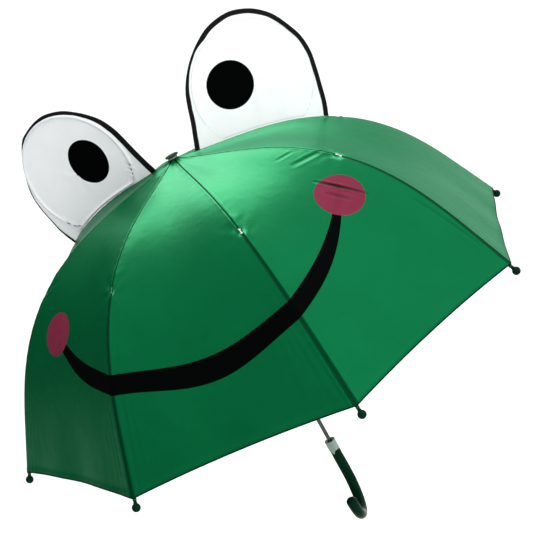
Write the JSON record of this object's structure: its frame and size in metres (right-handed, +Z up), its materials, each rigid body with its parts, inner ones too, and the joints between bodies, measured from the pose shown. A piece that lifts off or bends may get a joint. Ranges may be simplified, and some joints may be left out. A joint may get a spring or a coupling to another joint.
{
  "type": "children's umbrella",
  "caption": "Open children's stick umbrella: domed green satin canopy with a printed smile, stand-up fabric eyes, ball tips, sliding runner frame and crook handle.",
  "frame": {"origin": "on the shaft's axis at the middle of the straight grip, where a hand holds the umbrella", "axes": "+Z up the shaft to the flat top cap; the canopy's smiling front faces -Y; +X is to the right of someone who looks at that front"},
  "size_m": [0.6932, 0.6932, 0.6826],
  "materials": {
    "green_satin": "satin sheen",
    "green_plastic": "moulded, semi-gloss",
    "pale_plastic": "translucent",
    "black_plastic": "moulded",
    "steel": "drawn tube",
    "dark_steel": "black coated wire",
    "white_cloth": "plain weave"
  },
  "bodies": {
    "shaft": {"shaft": "steel", "notch": "black_plastic", "notch_wire": "steel", "canopy_washer": "green_satin", "spacer_ring": "pale_plastic", "top_cap": "green_plastic", "stop_pin": "steel", "handle_pin": "steel", "handle": "green_plastic", "collar": "pale_plastic"},
    "runner": {"runner": "black_plastic"},
    "top_spring": {"top_spring": "steel"},
    "bottom_spring": {"bottom_spring": "steel"},
    "rib_1": {"rib_1": "dark_steel", "canopy_1": "green_satin"},
    "outer_rib_1": {"outer_rib_1": "dark_steel", "tip_1": "green_plastic"},
    "stretcher_1": {"stretcher_1": "dark_steel"},
    "rib_2": {"rib_2": "dark_steel", "canopy_2": "green_satin"},
    "outer_rib_2": {"outer_rib_2": "dark_steel", "tip_2": "green_plastic"},
    "stretcher_2": {"stretcher_2": "dark_steel"},
    "rib_3": {"rib_3": "dark_steel", "canopy_3": "green_satin"},
    "outer_rib_3": {"outer_rib_3": "dark_steel", "tip_3": "green_plastic"},
    "stretcher_3": {"stretcher_3": "dark_steel"},
    "rib_4": {"rib_4": "dark_steel", "canopy_4": "green_satin"},
    "outer_rib_4": {"outer_rib_4": "dark_steel", "tip_4": "green_plastic"},
    "stretcher_4": {"stretcher_4": "dark_steel"},
    "rib_5": {"rib_5": "dark_steel", "canopy_5": "green_satin", "eye_right": "white_cloth", "eye_hoop_right": "steel"},
    "outer_rib_5": {"outer_rib_5": "dark_steel", "tip_5": "green_plastic"},
    "stretcher_5": {"stretcher_5": "dark_steel"},
    "rib_6": {"rib_6": "dark_steel", "canopy_6": "green_satin"},
    "outer_rib_6": {"outer_rib_6": "dark_steel", "tip_6": "green_plastic"},
    "stretcher_6": {"stretcher_6": "dark_steel"},
    "rib_7": {"rib_7": "dark_steel", "canopy_7": "green_satin"},
    "outer_rib_7": {"outer_rib_7": "dark_steel", "tip_7": "green_plastic", "tie_strap": "green_satin", "strap_snap": "black_plastic"},
    "stretcher_7": {"stretcher_7": "dark_steel"},
    "rib_8": {"rib_8": "dark_steel", "canopy_8": "green_satin", "eye_left": "white_cloth", "eye_hoop_left": "steel"},
    "outer_rib_8": {"outer_rib_8": "dark_steel", "tip_8": "green_plastic"},
    "stretcher_8": {"stretcher_8": "dark_steel"}
  },
  "joints": [
    {"name": "runner_slide", "type": "slide", "parent": "shaft", "child": "runner", "axis": [0, 0, -1], "range_m": [0, 0.29149]},
    {"name": "rib_1_fold", "type": "hinge", "parent": "shaft", "child": "rib_1", "pos_m": [-0.00831, -0.00344, 0.481], "axis": [0.3827, -0.9239, 0], "range_deg": [0, 71.62], "deforming": ["canopy_1"]},
    {"name": "outer_rib_1_flex", "type": "hinge", "parent": "rib_1", "child": "outer_rib_1", "pos_m": [-0.1865, -0.07725, 0.43269], "axis": [0.3827, -0.9239, 0], "range_deg": [-32.69, 0]},
    {"name": "stretcher_1_swing", "type": "hinge", "parent": "rib_1", "child": "stretcher_1", "pos_m": [-0.18476, -0.07653, 0.42916], "axis": [0.3827, -0.9239, 0], "range_deg": [-143.24, 0]},
    {"name": "rib_2_fold", "type": "hinge", "parent": "shaft", "child": "rib_2", "pos_m": [-0.00344, -0.00831, 0.481], "axis": [0.9239, -0.3827, 0], "range_deg": [0, 71.62], "deforming": ["canopy_2"]},
    {"name": "outer_rib_2_flex", "type": "hinge", "parent": "rib_2", "child": "outer_rib_2", "pos_m": [-0.07725, -0.1865, 0.43269], "axis": [0.9239, -0.3827, 0], "range_deg": [-32.69, 0]},
    {"name": "stretcher_2_swing", "type": "hinge", "parent": "rib_2", "child": "stretcher_2", "pos_m": [-0.07653, -0.18476, 0.42916], "axis": [0.9239, -0.3827, 0], "range_deg": [-143.24, 0]},
    {"name": "rib_3_fold", "type": "hinge", "parent": "shaft", "child": "rib_3", "pos_m": [0.00344, -0.00831, 0.481], "axis": [0.9239, 0.3827, 0], "range_deg": [0, 71.62], "deforming": ["canopy_3"]},
    {"name": "outer_rib_3_flex", "type": "hinge", "parent": "rib_3", "child": "outer_rib_3", "pos_m": [0.07725, -0.1865, 0.43269], "axis": [0.9239, 0.3827, 0], "range_deg": [-32.69, 0]},
    {"name": "stretcher_3_swing", "type": "hinge", "parent": "rib_3", "child": "stretcher_3", "pos_m": [0.07653, -0.18476, 0.42916], "axis": [0.9239, 0.3827, 0], "range_deg": [-143.24, 0]},
    {"name": "rib_4_fold", "type": "hinge", "parent": "shaft", "child": "rib_4", "pos_m": [0.00831, -0.00344, 0.481], "axis": [0.3827, 0.9239, 0], "range_deg": [0, 71.62], "deforming": ["canopy_4"]},
    {"name": "outer_rib_4_flex", "type": "hinge", "parent": "rib_4", "child": "outer_rib_4", "pos_m": [0.1865, -0.07725, 0.43269], "axis": [0.3827, 0.9239, 0], "range_deg": [-32.69, 0]},
    {"name": "stretcher_4_swing", "type": "hinge", "parent": "rib_4", "child": "stretcher_4", "pos_m": [0.18476, -0.07653, 0.42916], "axis": [0.3827, 0.9239, 0], "range_deg": [-143.24, 0]},
    {"name": "rib_5_fold", "type": "hinge", "parent": "shaft", "child": "rib_5", "pos_m": [0.00831, 0.00344, 0.481], "axis": [-0.3827, 0.9239, 0], "range_deg": [0, 71.62], "deforming": ["canopy_5"]},
    {"name": "outer_rib_5_flex", "type": "hinge", "parent": "rib_5", "child": "outer_rib_5", "pos_m": [0.1865, 0.07725, 0.43269], "axis": [-0.3827, 0.9239, 0], "range_deg": [-32.69, 0]},
    {"name": "stretcher_5_swing", "type": "hinge", "parent": "rib_5", "child": "stretcher_5", "pos_m": [0.18476, 0.07653, 0.42916], "axis": [-0.3827, 0.9239, 0], "range_deg": [-143.24, 0]},
    {"name": "rib_6_fold", "type": "hinge", "parent": "shaft", "child": "rib_6", "pos_m": [0.00344, 0.00831, 0.481], "axis": [-0.9239, 0.3827, 0], "range_deg": [0, 71.62], "deforming": ["canopy_6"]},
    {"name": "outer_rib_6_flex", "type": "hinge", "parent": "rib_6", "child": "outer_rib_6", "pos_m": [0.07725, 0.1865, 0.43269], "axis": [-0.9239, 0.3827, 0], "range_deg": [-32.69, 0]},
    {"name": "stretcher_6_swing", "type": "hinge", "parent": "rib_6", "child": "stretcher_6", "pos_m": [0.07653, 0.18476, 0.42916], "axis": [-0.9239, 0.3827, 0], "range_deg": [-143.24, 0]},
    {"name": "rib_7_fold", "type": "hinge", "parent": "shaft", "child": "rib_7", "pos_m": [-0.00344, 0.00831, 0.481], "axis": [-0.9239, -0.3827, 0], "range_deg": [0, 71.62], "deforming": ["canopy_7"]},
    {"name": "outer_rib_7_flex", "type": "hinge", "parent": "rib_7", "child": "outer_rib_7", "pos_m": [-0.07725, 0.1865, 0.43269], "axis": [-0.9239, -0.3827, 0], "range_deg": [-32.69, 0]},
    {"name": "stretcher_7_swing", "type": "hinge", "parent": "rib_7", "child": "stretcher_7", "pos_m": [-0.07653, 0.18476, 0.42916], "axis": [-0.9239, -0.3827, 0], "range_deg": [-143.24, 0]},
    {"name": "rib_8_fold", "type": "hinge", "parent": "shaft", "child": "rib_8", "pos_m": [-0.00831, 0.00344, 0.481], "axis": [-0.3827, -0.9239, 0], "range_deg": [0, 71.62], "deforming": ["canopy_8"]},
    {"name": "outer_rib_8_flex", "type": "hinge", "parent": "rib_8", "child": "outer_rib_8", "pos_m": [-0.1865, 0.07725, 0.43269], "axis": [-0.3827, -0.9239, 0], "range_deg": [-32.69, 0], "deforming": ["eye_left"]},
    {"name": "stretcher_8_swing", "type": "hinge", "parent": "rib_8", "child": "stretcher_8", "pos_m": [-0.18476, 0.07653, 0.42916], "axis": [-0.3827, -0.9239, 0], "range_deg": [-143.24, 0]},
    {"name": "top_spring_press", "type": "slide", "parent": "shaft", "child": "top_spring", "axis": [-0.3827, -0.9239, 0], "range_m": [0, 0.0022], "stiffness_N_per_m": 400, "springref_m": -0.002},
    {"name": "bottom_spring_press", "type": "slide", "parent": "shaft", "child": "bottom_spring", "axis": [-0.3827, -0.9239, 0], "range_m": [0, 0.0022], "stiffness_N_per_m": 400, "springref_m": -0.002}
  ],
  "couplings": [
    {"joint": "rib_1_fold", "follows": "runner_slide", "rad_per_m": 4.2879},
    {"joint": "outer_rib_1_flex", "follows": "runner_slide", "rad_per_m": -1.957},
    {"joint": "stretcher_1_swing", "follows": "runner_slide", "rad_per_m": -8.5758},
    {"joint": "rib_2_fold", "follows": "runner_slide", "rad_per_m": 4.2879},
    {"joint": "outer_rib_2_flex", "follows": "runner_slide", "rad_per_m": -1.957},
    {"joint": "stretcher_2_swing", "follows": "runner_slide", "rad_per_m": -8.5758},
    {"joint": "rib_3_fold", "follows": "runner_slide", "rad_per_m": 4.2879},
    {"joint": "outer_rib_3_flex", "follows": "runner_slide", "rad_per_m": -1.957},
    {"joint": "stretcher_3_swing", "follows": "runner_slide", "rad_per_m": -8.5758},
    {"joint": "rib_4_fold", "follows": "runner_slide", "rad_per_m": 4.2879},
    {"joint": "outer_rib_4_flex", "follows": "runner_slide", "rad_per_m": -1.957},
    {"joint": "stretcher_4_swing", "follows": "runner_slide", "rad_per_m": -8.5758},
    {"joint": "rib_5_fold", "follows": "runner_slide", "rad_per_m": 4.2879},
    {"joint": "outer_rib_5_flex", "follows": "runner_slide", "rad_per_m": -1.957},
    {"joint": "stretcher_5_swing", "follows": "runner_slide", "rad_per_m": -8.5758},
    {"joint": "rib_6_fold", "follows": "runner_slide", "rad_per_m": 4.2879},
    {"joint": "outer_rib_6_flex", "follows": "runner_slide", "rad_per_m": -1.957},
    {"joint": "stretcher_6_swing", "follows": "runner_slide", "rad_per_m": -8.5758},
    {"joint": "rib_7_fold", "follows": "runner_slide", "rad_per_m": 4.2879},
    {"joint": "outer_rib_7_flex", "follows": "runner_slide", "rad_per_m": -1.957},
    {"joint": "stretcher_7_swing", "follows": "runner_slide", "rad_per_m": -8.5758},
    {"joint": "rib_8_fold", "follows": "runner_slide", "rad_per_m": 4.2879},
    {"joint": "outer_rib_8_flex", "follows": "runner_slide", "rad_per_m": -1.957},
    {"joint": "stretcher_8_swing", "follows": "runner_slide", "rad_per_m": -8.5758}
  ]
}
